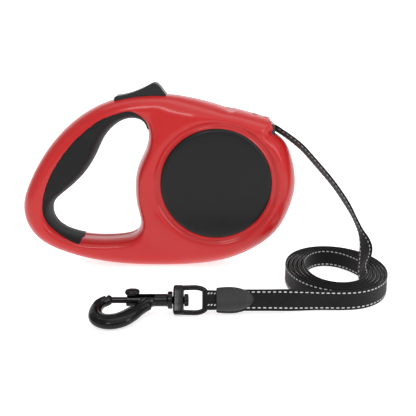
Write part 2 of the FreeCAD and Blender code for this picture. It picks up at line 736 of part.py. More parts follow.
def bow_bar():
    """Round bar of the arm and bow: straight runs and tangent arcs in the hook's plane."""
    route = [Vector(x, y, 0) for x, y in BOW_ROUTE]
    path, _ = along(route, 0.45)
    way = path.Edges[0].tangentAt(path.Edges[0].FirstParameter)
    ring = Part.Wire(Part.makeCircle(dim("bow_radius"), route[0], way))
    return path.makePipeShell([ring], True, False)


def bolt_shape():
    """Sliding bolt with its thumb knob."""
    rod_part = x_rod(dim("bolt_radius"), -38.8, -19.0)
    stem = Part.makeCylinder(1.2, 4.0, Vector(-22.5, 0, 0), Vector(0, 0, 1))
    knob = block(-27.0, -18.8, -2.1, 2.1, 3.6, 6.4)
    knob = knob.makeFillet(0.9, [e for e in knob.Edges if e.BoundBox.ZMin > 6.3])
    return rod_part.fuse(stem).fuse(knob).removeSplitter()


def bolt_spring_shape():
    spring = helix_spring(1.2, 0.5, 1.3, 11.2)
    spring.rotate(Vector(0, 0, 0), Vector(0, 1, 0), 90)
    spring.translate(Vector(-18.6, 0, 0))
    return spring


lean = -dim("lean")
roll = dim("hook_roll")
leaned("tape_end", tape_end_shape(), lean)
leaned("keeper_front", keeper_half(-1), lean)
leaned("keeper_rear", keeper_half(1), lean)
leaned("swivel_ring", ring_shape(), lean)
leaned("hook_body", hook_shape(), roll)
leaned("hook_bolt", bolt_shape(), roll)
leaned("bolt_spring", bolt_spring_shape(), roll)


# ------------------------------------------------------------------ check and export


def check_document():
    doc.recompute()
    for obj in doc.Objects:
        if "Invalid" in obj.State or "Error" in obj.State:
            raise RuntimeError(f"{obj.Label} failed: {obj.State}")
    for obj in NODES:
        if obj.Shape.isNull() or not obj.Shape.isValid():
            raise RuntimeError(f"{obj.Label} has no valid shape")


check_document()
os.makedirs("parts", exist_ok=True)
for obj in NODES:
    obj.Shape.exportStep(f"parts/{obj.Label}.step")
    box = obj.Shape.BoundBox
    print("%-18s solids %d volume %9.1f x %6.1f %6.1f y %6.1f %6.1f z %6.1f %6.1f" % (
        obj.Label, len(obj.Shape.Solids), obj.Shape.Volume, box.XMin, box.XMax,
        box.YMin, box.YMax, box.ZMin, box.ZMax))
print(len(NODES), "nodes")
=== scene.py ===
import math

import bpy
import numpy as np
from mathutils import Matrix, Vector
from mathutils.geometry import delaunay_2d_cdt


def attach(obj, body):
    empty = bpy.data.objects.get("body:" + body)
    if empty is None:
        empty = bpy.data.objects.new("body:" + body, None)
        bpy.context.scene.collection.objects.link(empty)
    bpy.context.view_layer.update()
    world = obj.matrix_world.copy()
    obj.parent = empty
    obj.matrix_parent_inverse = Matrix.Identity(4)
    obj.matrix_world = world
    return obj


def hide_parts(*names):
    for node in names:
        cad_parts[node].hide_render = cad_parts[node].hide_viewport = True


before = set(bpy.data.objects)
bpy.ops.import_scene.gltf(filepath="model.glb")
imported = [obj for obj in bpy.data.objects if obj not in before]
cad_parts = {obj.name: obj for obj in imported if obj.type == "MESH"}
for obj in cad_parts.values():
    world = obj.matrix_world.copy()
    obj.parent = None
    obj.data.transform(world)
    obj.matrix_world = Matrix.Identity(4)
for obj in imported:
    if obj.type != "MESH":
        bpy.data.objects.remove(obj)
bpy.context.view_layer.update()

MM = 0.001

# The lens is in mm; the camera, lights and floor are placed in metres. The leash itself is
# drawn in mm and scaled by MM.
LENS = 56.3
CAMERA_PLACE = (0.0332, -0.430, 0.1566)
CAMERA_TARGET = (0.0332, 0.0, 0.0396)
SUN_STRENGTH = 0.8
SUN_SPREAD = math.radians(70)
SUN_PLACE = (0.55, -0.60, 1.5)
WORLD_STRENGTH = 0.42
FLOOR_GLOW = 0.70


# ---------------------------------------------------------------- camera, floor and light
def look_at(obj, place, target):
    obj.location = place
    way = Vector(target) - Vector(place)
    obj.rotation_euler = way.to_track_quat("-Z", "Y").to_euler()


def camera():
    data = bpy.data.cameras.new("camera")
    data.lens = LENS
    data.sensor_width = 36.0
    data.clip_start = 0.02
    obj = bpy.data.objects.new("camera", data)
    bpy.context.collection.objects.link(obj)
    look_at(obj, CAMERA_PLACE, CAMERA_TARGET)
    bpy.context.scene.camera = obj


def softbox(name, place, target, width, height, power):
    """Rectangular area light at a place, turned to a target."""
    data = bpy.data.lights.new(name, "AREA")
    data.shape = "RECTANGLE"
    data.size, data.size_y = width, height
    data.energy = power
    obj = bpy.data.objects.new(name, data)
    bpy.context.collection.objects.link(obj)
    look_at(obj, place, target)


def lights():
    sun = bpy.data.lights.new("studio_sun", "SUN")
    sun.energy = SUN_STRENGTH
    sun.angle = SUN_SPREAD
    obj = bpy.data.objects.new("studio_sun", sun)
    bpy.context.collection.objects.link(obj)
    look_at(obj, SUN_PLACE, (0.0, 0.0, 0.0))
    softbox("top_light", (0.02, 0.02, 0.62), (0.02, 0.0, 0.05), 0.75, 0.22, 0.6)
    softbox("right_light", (0.62, -0.38, 0.35), (0.06, 0.0, 0.06), 0.22, 0.5, 1.1)
    softbox("front_light", (-0.25, -1.15, 1.0), (0.02, 0.0, 0.05), 0.36, 0.36, 3.4)
    softbox("left_light", (-0.62, -0.45, 0.30), (-0.05, 0.0, 0.06), 0.22, 0.5, 0.12)
    world = bpy.data.worlds.new("studio")
    world.use_nodes = True
    background = world.node_tree.nodes["Background"]
    background.inputs["Color"].default_value = (1.0, 1.0, 1.0, 1.0)
    background.inputs["Strength"].default_value = WORLD_STRENGTH
    bpy.context.scene.world = world
    bpy.context.scene.view_settings.view_transform = "Standard"


def floor():
    """Pale floor that sweeps up into a plain backdrop."""
    rows = [(-2.5, 0.0), (1.6, 0.0), (2.0, 0.05), (2.3, 0.2), (2.5, 0.5), (2.6, 1.0), (2.6, 3.0)]
    points = [(x, y, z) for y, z in rows for x in (-4.0, 4.0)]
    faces = [(2 * k, 2 * k + 1, 2 * k + 3, 2 * k + 2) for k in range(len(rows) - 1)]
    mesh = bpy.data.meshes.new("floor")
    mesh.from_pydata(points, [], faces)
    shader = Shader("pale_floor", Specular_IOR_Level=0.1, Emission_Strength=FLOOR_GLOW)
    shader.surface.inputs["Emission Color"].default_value = (1.0, 1.0, 1.0, 1.0)
    mottle = shader.noise(6.0)
    shade = shader.mix(mottle, (0.74, 0.74, 0.74, 1.0), (0.78, 0.78, 0.78, 1.0))
    mesh.materials.append(shader.finish(shade, shader.band(mottle, 0.3, 0.7, 0.6, 0.75)))
    obj = bpy.data.objects.new("floor", mesh)
    bpy.context.collection.objects.link(obj)


# ---------------------------------------------------------------- materials
NOISE_ROUGHNESS = 0.55


class Shader:
    """A small helper round one node tree: make nodes, set their sockets, join them."""

    def __init__(self, name, **settings):
        self.material = bpy.data.materials.new(name)
        self.material.use_nodes = True
        self.tree = self.material.node_tree
        self.surface = self.tree.nodes["Principled BSDF"]
        for key, value in settings.items():
            self.surface.inputs[key.replace("_", " ")].default_value = value

    def node(self, kind, **settings):
        made = self.tree.nodes.new("ShaderNode" + kind)
        for key, value in settings.items():
            if hasattr(made, key):
                setattr(made, key, value)
            else:
                self.join(value, made.inputs[key.replace("_", " ")])
        return made

    def join(self, value, socket):
        if isinstance(value, bpy.types.NodeSocket):
            self.tree.links.new(value, socket)
        else:
            socket.default_value = value

    def place(self):
        return self.node("TexCoord").outputs["Object"]

    def noise(self, scale, detail=3.0, vector=None):
        made = self.node("TexNoise", Vector=vector or self.place(), Scale=scale, Detail=detail)
        made.inputs["Roughness"].default_value = NOISE_ROUGHNESS
        return made.outputs["Fac"]

    def band(self, value, low, high, start=0.0, end=1.0):
        made = self.node("MapRange")
        for socket, given in zip(made.inputs, (value, low, high, start, end)):
            self.join(given, socket)
        return made.outputs["Result"]

    def maths(self, operation, a, b=0.0):
        made = self.node("Math", operation=operation)
        self.join(a, made.inputs[0])
        self.join(b, made.inputs[1])
        return made.outputs[0]

    def mix(self, factor, a, b):
        made = self.node("Mix", data_type="RGBA")
        self.join(factor, made.inputs[0])
        self.join(a, made.inputs[6])
        self.join(b, made.inputs[7])
        return made.outputs[2]

    def finish(self, colour, roughness, height=None, strength=0.3, distance=0.0001):
        self.join(colour, self.surface.inputs["Base Color"])
        self.join(roughness, self.surface.inputs["Roughness"])
        if height is not None:
            bump = self.node("Bump", Height=height, Strength=strength, Distance=distance)
            self.join(bump.outputs["Normal"], self.surface.inputs["Normal"])
        return self.material


def tone(colour, factor):
    """The colour made lighter or darker, with its alpha."""
    return tuple(min(1.0, c * factor) for c in colour) + (1.0,)


def moulded(name, colour, rough, spread=0.08, grain=1500.0, depth=0.25, coat=0.0, shine=0.25):
    """Moulded plastic: cloudy tone, fine grain, a few dull rubs."""
    shader = Shader(name, Coat_Weight=coat, Coat_Roughness=0.12, Specular_IOR_Level=shine)
    cloud = shader.noise(28.0)
    rub = shader.band(shader.noise(160.0, 6.0), 0.55, 0.75)
    shade = shader.mix(cloud, tone(colour, 1 - spread), tone(colour, 1 + spread))
    shade = shader.mix(shader.maths("MULTIPLY", rub, 0.10), shade, tone(colour, 1.35))
    gloss = shader.band(rub, 0.0, 1.0, rough, rough + 0.10)
    fine = shader.noise(grain, 2.0)
    return shader.finish(shade, gloss, fine, depth, 0.00006)


def textured_rubber(name, colour, rough):
    """Soft moulded rubber: fine pebble grain, painted darker in the gaps as shade and lighter on the
    tops as highlight, with lighter, glossier worn patches.
    """
    shader = Shader(name, Sheen_Weight=0.04, Sheen_Roughness=0.5, Specular_IOR_Level=0.18)
    cells = shader.node("TexVoronoi", Vector=shader.place(), Scale=1400.0)
    pebble = shader.band(cells.outputs["Distance"], 0.0, 0.75, 1.0, 0.0)
    wear = shader.band(shader.noise(70.0, 5.0), 0.5, 0.8)
    # Painted shade and highlight: the pebble height darkens the gaps between pebbles and lightens
    # their tops.
    shade = shader.mix(pebble, tone(colour, 0.8), tone(colour, 1.15))
    shade = shader.mix(shader.maths("MULTIPLY", wear, 0.25), shade, tone(colour, 1.8))
    gloss = shader.band(wear, 0.0, 1.0, rough, rough - 0.12)
    return shader.finish(shade, gloss, pebble, 0.35, 0.00008)


def cast_metal(name, colour, rough, wear_colour):
    """Plated cast metal: slight ripple, cloudy gloss, small bright rubs."""
    shader = Shader(name, Specular_IOR_Level=0.24)
    ripple = shader.noise(260.0, 4.0)
    rub = shader.band(shader.noise(520.0, 8.0), 0.62, 0.74)
    shade = shader.mix(ripple, tone(colour, 0.75), tone(colour, 1.3))
    shade = shader.mix(shader.maths("MULTIPLY", rub, 0.5), shade, tone(wear_colour, 1.0))
    gloss = shader.band(ripple, 0.3, 0.7, rough - 0.06, rough + 0.10)
    return shader.finish(shade, gloss, ripple, 0.16, 0.0002)


def drawn_steel(name, colour, rough):
    """Turned or drawn steel: fine lines round the part."""
    shader = Shader(name, Metallic=1.0)
    stretch = shader.node("Mapping", Vector=shader.place())
    stretch.inputs["Scale"].default_value = (60.0, 2200.0, 60.0)
    lines = shader.noise(1.0, 4.0, stretch.outputs["Vector"])
    shade = shader.mix(lines, tone(colour, 0.8), tone(colour, 1.15))
    return shader.finish(shade, shader.band(lines, 0.3, 0.7, rough, rough + 0.15), lines, 0.2, 0.00005)


def webbing(name, colour):
    """Woven tape: ribs across, wales along, from its own lengthwise coordinates in mm."""
    shader = Shader(name, Sheen_Weight=0.10, Sheen_Roughness=0.45, Specular_IOR_Level=0.15)
    parts = shader.node("SeparateXYZ", Vector=shader.node("UVMap").outputs["UV"])
    along, across = parts.outputs["X"], parts.outputs["Y"]
    ribs = shader.maths("SINE", shader.maths("MULTIPLY", along, 2 * math.pi / 0.62))
    lean = shader.maths("ADD", across, shader.maths("MULTIPLY", ribs, 0.12))
    wales = shader.maths("SINE", shader.maths("MULTIPLY", lean, 2 * math.pi / 0.95))
    weave = shader.maths("MULTIPLY", shader.maths("ADD", ribs, 1.4),
                         shader.maths("ADD", wales, 1.6))
    weave = shader.band(weave, 0.0, 6.2)
    fuzz = shader.noise(2600.0, 4.0)
    height = shader.maths("ADD", weave, shader.maths("MULTIPLY", fuzz, 0.35))
    faded = shader.noise(45.0, 4.0)
    shade = shader.mix(weave, tone(colour, 0.45), tone(colour, 1.5))
    shade = shader.mix(shader.band(faded, 0.4, 0.8, 0.0, 0.4), shade, tone(colour, 1.9))
    return shader.finish(shade, shader.band(fuzz, 0.3, 0.7, 0.62, 0.85), height, 0.55, 0.00022)


def thread(name, colour):
    """Stitching thread: lay of the yarn and slight soiling."""
    shader = Shader(name, Sheen_Weight=0.2)
    stretch = shader.node("Mapping", Vector=shader.place())
    stretch.inputs["Rotation"].default_value = (0.5, 0.6, 0.4)
    lay = shader.node("TexWave", Vector=stretch.outputs["Vector"], Scale=1300.0).outputs["Fac"]
    soil = shader.noise(300.0, 4.0)
    shade = shader.mix(lay, tone(colour, 0.8), tone(colour, 1.08))
    shade = shader.mix(shader.band(soil, 0.4, 0.8, 0.0, 0.35), shade, tone(colour, 0.55))
    return shader.finish(shade, shader.band(soil, 0.3, 0.7, 0.55, 0.75), lay, 0.4, 0.0001)


RED_SHELL = moulded("red_shell_plastic", (0.50, 0.014, 0.015), 0.34, 0.05, 1100.0, 0.06, 0.35, 0.22)
GRIP = textured_rubber("grip_rubber", (0.011, 0.011, 0.0115), 0.62)
BADGE = moulded("badge_plastic", (0.007, 0.007, 0.0075), 0.40, 0.10, 2200.0, 0.3, 0.06, 0.22)
BUTTON = moulded("button_plastic", (0.014, 0.014, 0.016), 0.40, 0.10, 1800.0, 0.3)
MOUTH = moulded("mouth_trim", (0.030, 0.031, 0.034), 0.30, 0.12, 1500.0, 0.2, 0.2)
INNER = moulded("inner_plastic", (0.30, 0.30, 0.29), 0.5, 0.08, 1500.0, 0.3)
STEEL = drawn_steel("turned_steel", (0.55, 0.55, 0.56), 0.25)
SPRING = drawn_steel("spring_steel", (0.40, 0.42, 0.46), 0.22)
TAPE = webbing("woven_tape", (0.0095, 0.0095, 0.010))
THREAD = thread("stitch_thread", (0.66, 0.66, 0.67))
KEEPER = textured_rubber("keeper_rubber", (0.034, 0.034, 0.035), 0.45)
GUNMETAL = cast_metal("gunmetal", (0.003, 0.003, 0.0035), 0.13, (0.012, 0.012, 0.012))

NODE_LOOKS = {
    "case_screws": STEEL, "spool_axle": STEEL, "thrust_washers": STEEL, "spring_arbor": STEEL,
    "lever_pivot_pin": STEEL, "tape_anchor_pin": STEEL, "lever_spring": SPRING,
    "power_spring": SPRING, "spring_cover": SPRING, "bolt_spring": SPRING,
    "spool": INNER, "brake_lever": INNER, "thumb_button": BUTTON, "mouth_guide": MOUTH,
    "tape_roll": TAPE, "tape_feed": TAPE, "front_badge": BADGE, "rear_badge": BADGE,
    "front_shell": RED_SHELL, "rear_shell": RED_SHELL, "front_grip": GRIP, "rear_grip": GRIP,
    "swivel_ring": GUNMETAL, "hook_body": GUNMETAL, "hook_bolt": GUNMETAL,
    "keeper_front": KEEPER, "keeper_rear": KEEPER,
    "tape_free": TAPE, "tape_coil": TAPE, "tape_run": TAPE, "tape_end": TAPE,
}


def paint_nodes():
    """Gives each CAD node its own material."""
    for name, look in NODE_LOOKS.items():
        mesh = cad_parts[name].data
        mesh.materials.clear()
        mesh.materials.append(look)


# ---------------------------------------------------------------- mesh helpers
def piece(name, points, faces, looks, body, picks=None, uvs=None):
    """New mesh piece from points in millimetres, on its body, with its material slot named."""
    mesh = bpy.data.meshes.new(name)
    mesh.from_pydata([tuple(c * MM for c in p) for p in points], [], [tuple(f) for f in faces])
    for look in looks:
        mesh.materials.append(look)
    for polygon in mesh.polygons:
        polygon.use_smooth = True
        if picks is not None:
            polygon.material_index = picks[polygon.index]
    if uvs is not None:
        layer = mesh.uv_layers.new(name="UVMap")
        for loop in mesh.loops:
            layer.data[loop.index].uv = uvs[loop.vertex_index]
    mesh.validate()
    obj = bpy.data.objects.new(name, mesh)
    bpy.context.collection.objects.link(obj)
    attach(obj, body)
    return obj


def periodic(points, count):
    """Dense closed polyline through the points, by a periodic cubic in chord length."""
    p = np.array(points, float)
    n = len(p)
    gap = np.linalg.norm(np.roll(p, -1, 0) - p, axis=1)
    system = np.zeros((n, n))
    right = np.zeros((n, 2))
    for i in range(n):
        before, after = gap[i - 1], gap[i]
        system[i, i - 1] += before
        system[i, i] += 2 * (before + after)
        system[i, (i + 1) % n] += after
        right[i] = 6 * ((p[(i + 1) % n] - p[i]) / after - (p[i] - p[i - 1]) / before)
    bend = np.linalg.solve(system, right)
    start = np.concatenate([[0], np.cumsum(gap)])
    out = []
    for s in np.linspace(0, start[-1], count, endpoint=False):
        i = min(int(np.searchsorted(start, s, "right")) - 1, n - 1)
        j, h = (i + 1) % n, gap[i]
        a, b = (start[i + 1] - s) / h, (s - start[i]) / h
        out.append(a * p[i] + b * p[j] + ((a ** 3 - a) * bend[i] + (b ** 3 - b) * bend[j]) * h * h / 6)
    return np.array(out)


def distance(spots, line, closed=False):
    """Least distance of each spot from a polyline."""
    a = np.array(line)
    b = np.roll(a, -1, 0) if closed else a[1:]
    a = a if closed else a[:-1]
    way = b - a
    size = np.maximum((way ** 2).sum(1), 1e-12)
    best = np.full(len(spots), 1e9)
    for k in range(len(a)):
        gap = spots - a[k]
        t = np.clip((gap @ way[k]) / size[k], 0, 1)[:, None]
        best = np.minimum(best, ((gap - t * way[k]) ** 2).sum(1))
    return np.sqrt(best)


def inside(spots, loop):
    """Even-odd test of spots against a closed loop."""
    result = np.zeros(len(spots), bool)
    x, z = spots[:, 0], spots[:, 1]
    ends = np.roll(loop, -1, 0)
    for (xa, za), (xb, zb) in zip(loop, ends):
        if za == zb:
            continue
        crosses = (za > z) != (zb > z)
        result ^= crosses & (x < (xb - xa) * (z - za) / (zb - za) + xa)
    return result


def normals(loop, closed=True):
    """Unit normals to the left of a polyline's direction."""
    if closed:
        way = np.roll(loop, -1, 0) - np.roll(loop, 1, 0)
    else:
        way = np.gradient(loop, axis=0)
    way /= np.linalg.norm(way, axis=1)[:, None]
    return np.stack([-way[:, 1], way[:, 0]], 1)


def ease(value, low, high):
    """Smooth step from 0 at low to 1 at high."""
    t = np.clip((value - low) / (high - low), 0, 1)
    return t * t * (3 - 2 * t)


def thinned(spots, spacing):
    """Drops each spot that lies nearer than spacing to an earlier one."""
    kept, cells = [], {}
    for spot in spots:
        cell = (int(spot[0] // spacing), int(spot[1] // spacing))
        near = [q for i in (-1, 0, 1) for j in (-1, 0, 1)
                for q in cells.get((cell[0] + i, cell[1] + j), ())]
        if all((spot[0] - q[0]) ** 2 + (spot[1] - q[1]) ** 2 >= spacing ** 2 for q in near):
            kept.append(spot)
            cells.setdefault(cell, []).append(spot)
    return np.array(kept)


def triangulated(loops, spots):
    """Triangles over the first loop less the others, using the spots. Points and faces."""
    points, edges = [], []
    for loop in loops:
        first, count = len(points), len(loop)
        points += [Vector(p) for p in loop]
        edges += [(first + i, first + (i + 1) % count) for i in range(count)]
    points += [Vector(p) for p in spots]
    out = delaunay_2d_cdt(points, edges, [], 0, 1e-5)
    flat = np.array([tuple(p) for p in out[0]])
    faces = np.array([f for f in out[2]])
    middle = flat[faces].mean(1)
    keep = inside(middle, loops[0])
    for loop in loops[1:]:
        keep &= ~inside(middle, loop)
    return flat, faces[keep]


# ---------------------------------------------------------------- case form
CASE_OUTLINE = [
    (0, -0.2), (25, 0.7), (44, 3.8), (64, 11.9), (79.5, 24), (88.6, 41), (92, 58), (88.9, 76),
    (83.6, 86.6), (75.6, 92.8), (63, 100.6), (47, 107.8), (24, 114.4), (0, 117.3), (-16, 116.2),
    (-34.6, 111.4), (-53.5, 100.8), (-71.1, 83.8), (-86.6, 59.2), (-92, 39.5),
    (-84.2, 20.6), (-66.1, 9.7), (-43, 3.2), (-22, 0.5),
]
NOZZLE_TOP = [(73.7, 101.5), (66, 103.8), (58, 105.9), (50, 108.0)]
NOZZLE_END = (45.0, 108.7)
MOUTH_FOOT = (75.2, 92.9)
HAND_OUTLINE = [
    (-15.8, 55), (-15.2, 63), (-12, 73), (-7.2, 84), (-6.2, 92), (-9, 99.5), (-16, 102),
    (-28, 97.6), (-36.5, 88.3), (-42, 77.5), (-48, 67.8), (-56, 59), (-65, 51.4),
    (-72.6, 43.5), (-73.6, 35.5), (-69.5, 28), (-61.5, 23.2), (-51, 20.6), (-37, 19.8),
    (-25, 20.6), (-16, 23.9), (-13, 29.5), (-13.6, 37), (-15.4, 46),
]
GRIP_OUTER = [
    (-5.4, 95.0), (-7.0, 100.2), (-10.2, 103.9), (-13.5, 106.4), (-18.6, 107.4),
    (-29.1, 104.6), (-38.1, 100.6),
    (-48.6, 92.7), (-56.9, 84.4), (-63.7, 76), (-69.7, 66.6), (-73.8, 57.5), (-76.4, 48.6),
    (-77.2, 39.5), (-74.2, 31), (-68, 24.6), (-61, 20.3), (-57, 18.5), (-53.6, 17.4),
]
DISC = np.array([38.5, 60.2])
HANDLE_DEPTH = 14.0
RIDGE_DEPTH = 17.9
RIDGE_RADIUS = 42.0
RIDGE_FADE = 62.0
VALLEY_RADIUS = 38.4
VALLEY_DEPTH = 1.9
OUTER_ROUND = 11.0
HOLE_ROUND = 6.0
SCREWS = [(-82, 36), (-50, 11.6), (-47.5, 95.8), (0, 9.5), (70.5, 24.5), (81, 79)]
SEAM = 0.25
MESH_STEP = 1.9
LIP = 0.5
FIELD_RADII = (36.2, 36.9, 37.6, 38.4, 39.2, 40.0, 40.8, 41.6, 42.4, 43.4, 44.6, 46.2)


def case_loop():
    """Case outline with the nozzle's flat mouth, and the same line open at the mouth."""
    smooth = periodic(CASE_OUTLINE, 330)
    foot = int(np.argmin(((smooth - MOUTH_FOOT) ** 2).sum(1)))
    top = int(np.argmin(((smooth - NOZZLE_END) ** 2).sum(1)))
    lip = []
    for a, b in zip(NOZZLE_TOP, NOZZLE_TOP[1:]):
        lip += [np.array(a) + (np.array(b) - a) * t for t in (0, 0.25, 0.5, 0.75)]
    way = np.array(NOZZLE_TOP[0]) - smooth[foot]
    edge = [smooth[foot] + way * t for t in (0.2, 0.4, 0.6, 0.8)]
    loop = list(smooth[:foot + 1]) + edge + lip + list(smooth[top:])
    start = foot + len(edge) + 1
    return np.array(loop), np.array(loop[start:] + loop[:foot + 1])


CASE, RIM = case_loop()
HAND = periodic(HAND_OUTLINE, 240)


def bulge(ratio, power=2.1):
    """Quarter of a rounded edge: 0 at the parting line, 1 on the face."""
    t = np.clip(ratio, 0, 1)
    return (1 - (1 - t) ** power) ** (1 / power)


def case_depth(spots, outset=0.0):
    """Half depth of the case at each spot; outset moves the hand opening's edge inwards."""
    radius = np.linalg.norm(spots - DISC, axis=1)
    face = HANDLE_DEPTH + (RIDGE_DEPTH - HANDLE_DEPTH) * (1 - ease(radius, RIDGE_RADIUS, RIDGE_FADE))
    reach = np.clip(np.abs(radius - VALLEY_RADIUS) / (RIDGE_RADIUS - VALLEY_RADIUS), 0, 1)
    face = face - VALLEY_DEPTH * np.cos(reach * math.pi / 2) ** 2
    edge = distance(spots, RIM)
    hole = distance(spots, HAND, True)
    hole = np.where(inside(spots, HAND), -hole, hole) + outset
    return face * bulge(edge / OUTER_ROUND) * bulge(hole / (HOLE_ROUND + outset))


def field_spots(loops, inset):
    """Spots for the case mesh: rings inside its edges, rings round the disc, an even fill."""
    outline, hole = loops
    steps = [1 - math.cos(a * math.pi / 20) for a in range(1, 11)]
    spots = []
    for step in steps:
        spots += list(outline + normals(outline) * step * OUTER_ROUND)
        spots += list(hole - normals(hole) * step * HOLE_ROUND)
    for radius in FIELD_RADII:
        turn = np.linspace(0, 2 * math.pi, 220, endpoint=False)
        spots += list(DISC + radius * np.stack([np.cos(turn), np.sin(turn)], 1))
    grid = []
    for j, z in enumerate(np.arange(0, 118, MESH_STEP * 0.87)):
        for x in np.arange(-92 + (j % 2) * MESH_STEP / 2, 92, MESH_STEP):
            grid.append((x, z))
    grid = np.array(grid)
    far = (distance(grid, outline, True) > 2) & (distance(grid, hole, True) > 1.5)
    spots = np.array(spots + list(grid[far]))
    clear = inside(spots, outline) & ~inside(spots, hole)
    clear &= (distance(spots, outline, True) > inset) & (distance(spots, hole, True) > inset)
    return thinned(spots[clear], 0.55)


def lathe_rows(profile, count):
    """Points and faces of a profile (radius, height) turned about the height axis."""
    points, faces = [], []
    for radius, height in profile:
        for k in range(count):
            turn = 2 * math.pi * k / count
            points.append((radius * math.cos(turn), height, radius * math.sin(turn)))
    for row in range(len(profile) - 1):
        for k in range(count):
            a, b = row * count + k, row * count + (k + 1) % count
            faces.append((a, b, b + count, a + count))
    return points, faces


def case_half(side, name, node, field):
    """One half of the case, closed at the parting line by an inner lip."""
    flat, faces, depth = field
    outward = -side
    points = [(x, side * max(d, SEAM), z) for (x, z), d in zip(flat, depth)]
    faces = [tuple(f) if outward > 0 else tuple(f[::-1]) for f in faces]
    counts = {}
    for face in faces:
        for a, b in zip(face, face[1:] + face[:1]):
            counts[(a, b)] = counts.get((a, b), 0) + 1
    border = [(a, b) for a, b in counts if (b, a) not in counts]
    after = {a: b for a, b in border}
    before = {b: a for a, b in border}
    lip = {}
    for a in after:
        ahead, behind = np.array(flat[after[a]]), np.array(flat[before[a]])
        way = (ahead - behind) / max(np.linalg.norm(ahead - behind), 1e-9)
        inward = np.array([-way[1], way[0]]) * (1 if outward > 0 else -1)
        spot = np.array(flat[a]) + inward * LIP
        lip[a] = len(points)
        points.append((spot[0], 0.0, spot[1]))
    faces += [(b, a, lip[a], lip[b]) for a, b in border]
    obj = piece(name, points, faces, [RED_SHELL], "case")
    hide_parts(node)
    return obj


# (radius, height above the case) of a red collar and of the steel head inside it.
COLLAR_PROFILE = [(3.5, -0.9), (3.5, 0.05), (3.25, 0.14), (3.0, 0.05), (3.0, -0.6)]
SCREW_PROFILE = [(2.7, -0.6), (2.6, -0.2), (2.2, -0.05), (0.9, -0.02), (0.75, -0.5), (0.02, -0.55)]
SCREW_SIDES = 48


def screw_heads():
    """Level heads of the six case screws on the rear half, each in a red collar."""
    for index, (x, z) in enumerate(SCREWS):
        level = float(case_depth(np.array([[x, z]]))[0])
        rows = [(radius, level + height) for radius, height in COLLAR_PROFILE + SCREW_PROFILE]
        points, faces = lathe_rows(rows, SCREW_SIDES)
        points = [(px + x, py, pz + z) for px, py, pz in points]
        red = SCREW_SIDES * (len(COLLAR_PROFILE) - 1)
        picks = [0 if k < red else 1 for k in range(len(faces))]
        piece(f"screw_head_{index + 1}", points, faces, [RED_SHELL, STEEL], "case", picks)


def build_case():
    """Both halves of the case, from one field of half depths, and the screw heads."""
    spots = field_spots((CASE, HAND), 0.3)
    flat, faces = triangulated([CASE, HAND[::-1]], spots)
    field = flat, faces, case_depth(flat)
    case_half(-1, "front_case", "front_shell", field)
    case_half(1, "rear_case", "rear_shell", field)
    screw_heads()


def open_line(points, count):
    """Dense open polyline through the points, rounded by a uniform Catmull-Rom cubic."""
    p = [np.array(q, float) for q in points]
    p = [2 * p[0] - p[1]] + p + [2 * p[-1] - p[-2]]
    out = []
    for a, b, c, d in zip(p, p[1:], p[2:], p[3:]):
        for t in np.arange(0, 1, 1.0 / count):
            out.append(0.5 * (2 * b + (c - a) * t + (2 * a - 5 * b + 4 * c - d) * t * t
                              + (3 * b - a - 3 * c + d) * t ** 3))
    return np.array(out + [p[-2]])


GRIP_PROUD = 0.5
GRIP_SINK = 0.7
GRIP_EDGE = 1.6
GRIP_START = np.array([-6.5, 94.0])
GRIP_STOP = np.array([-51.6, 20.7])


def grip_field():
    """Soft grip over the hand opening's left side: flat spots, faces and half depths."""
    outer = open_line(GRIP_OUTER, 6)
    first = int(np.argmin(((HAND - GRIP_START) ** 2).sum(1)))
    last = int(np.argmin(((HAND - GRIP_STOP) ** 2).sum(1)))
    inner = HAND[first:last + 1]
    inner = inner + normals(inner, False) * GRIP_PROUD
    loop = np.concatenate([outer[::-1], inner])
    rim = np.concatenate([inner[-1:], outer[::-1], inner[:1]])
    spots = []
    for step in (0.25, 0.5, 0.8, 1.15, 1.6, 2.2):
        shift = normals(loop) * step
        spots += list(loop + shift) + list(loop - shift)
    for k in range(1, 10):
        step = (1 - math.cos(k * math.pi / 20)) * (HOLE_ROUND + GRIP_PROUD)
        shift = normals(inner, False) * step
        spots += list(inner + shift) + list(inner - shift)
    grid = [(x, z) for x in np.arange(-79, -6, 1.5) for z in np.arange(16, 109, 1.5)]
    spots = np.array(spots + grid)
    spots = spots[inside(spots, loop) & (distance(spots, loop, True) > 0.15)]
    flat, faces = triangulated([loop], thinned(spots, 0.45))
    depth = case_depth(flat, GRIP_PROUD)
    lift = bulge(distance(flat, rim) / GRIP_EDGE) * (GRIP_PROUD + GRIP_SINK) - GRIP_SINK
    return flat, faces, np.maximum(depth + lift * np.clip(depth / 4.0, 0, 1), 0.0)


def grip_half(side, name, node, field):
    """The grip's skin on one half of the case."""
    flat, faces, depth = field
    points = [(x, side * max(d, SEAM), z) for (x, z), d in zip(flat, depth)]
    faces = [tuple(f) if side < 0 else tuple(f[::-1]) for f in faces]
    obj = piece(name, points, faces, [GRIP], "case")
    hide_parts(node)


# (radius, distance from the parting plane) of the domed disc, from its middle to its rim.
BADGE_PROFILE = [
    (0.0, 19.79), (6.0, 19.77), (12.0, 19.69), (18.0, 19.56), (24.0, 19.38), (29.0, 19.18),
    (32.0, 19.04), (33.8, 18.94), (34.5, 18.82), (35.1, 18.6), (35.6, 18.3), (36.0, 17.9),
    (36.3, 17.4), (36.45, 16.9), (36.5, 16.3), (36.5, 15.2),
]
BADGE_SIDES = 180


def badge(side, name, node):
    """Domed disc turned about the spool's axis, with a rounded rim."""
    points, faces = lathe_rows([(r, side * y) for r, y in BADGE_PROFILE], BADGE_SIDES)
    points = [(x + DISC[0], y, z + DISC[1]) for x, y, z in points]
    faces = [f[::-1] if side < 0 else f for f in faces]
    obj = piece(name, points, faces, [BADGE], "case")
    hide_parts(node)


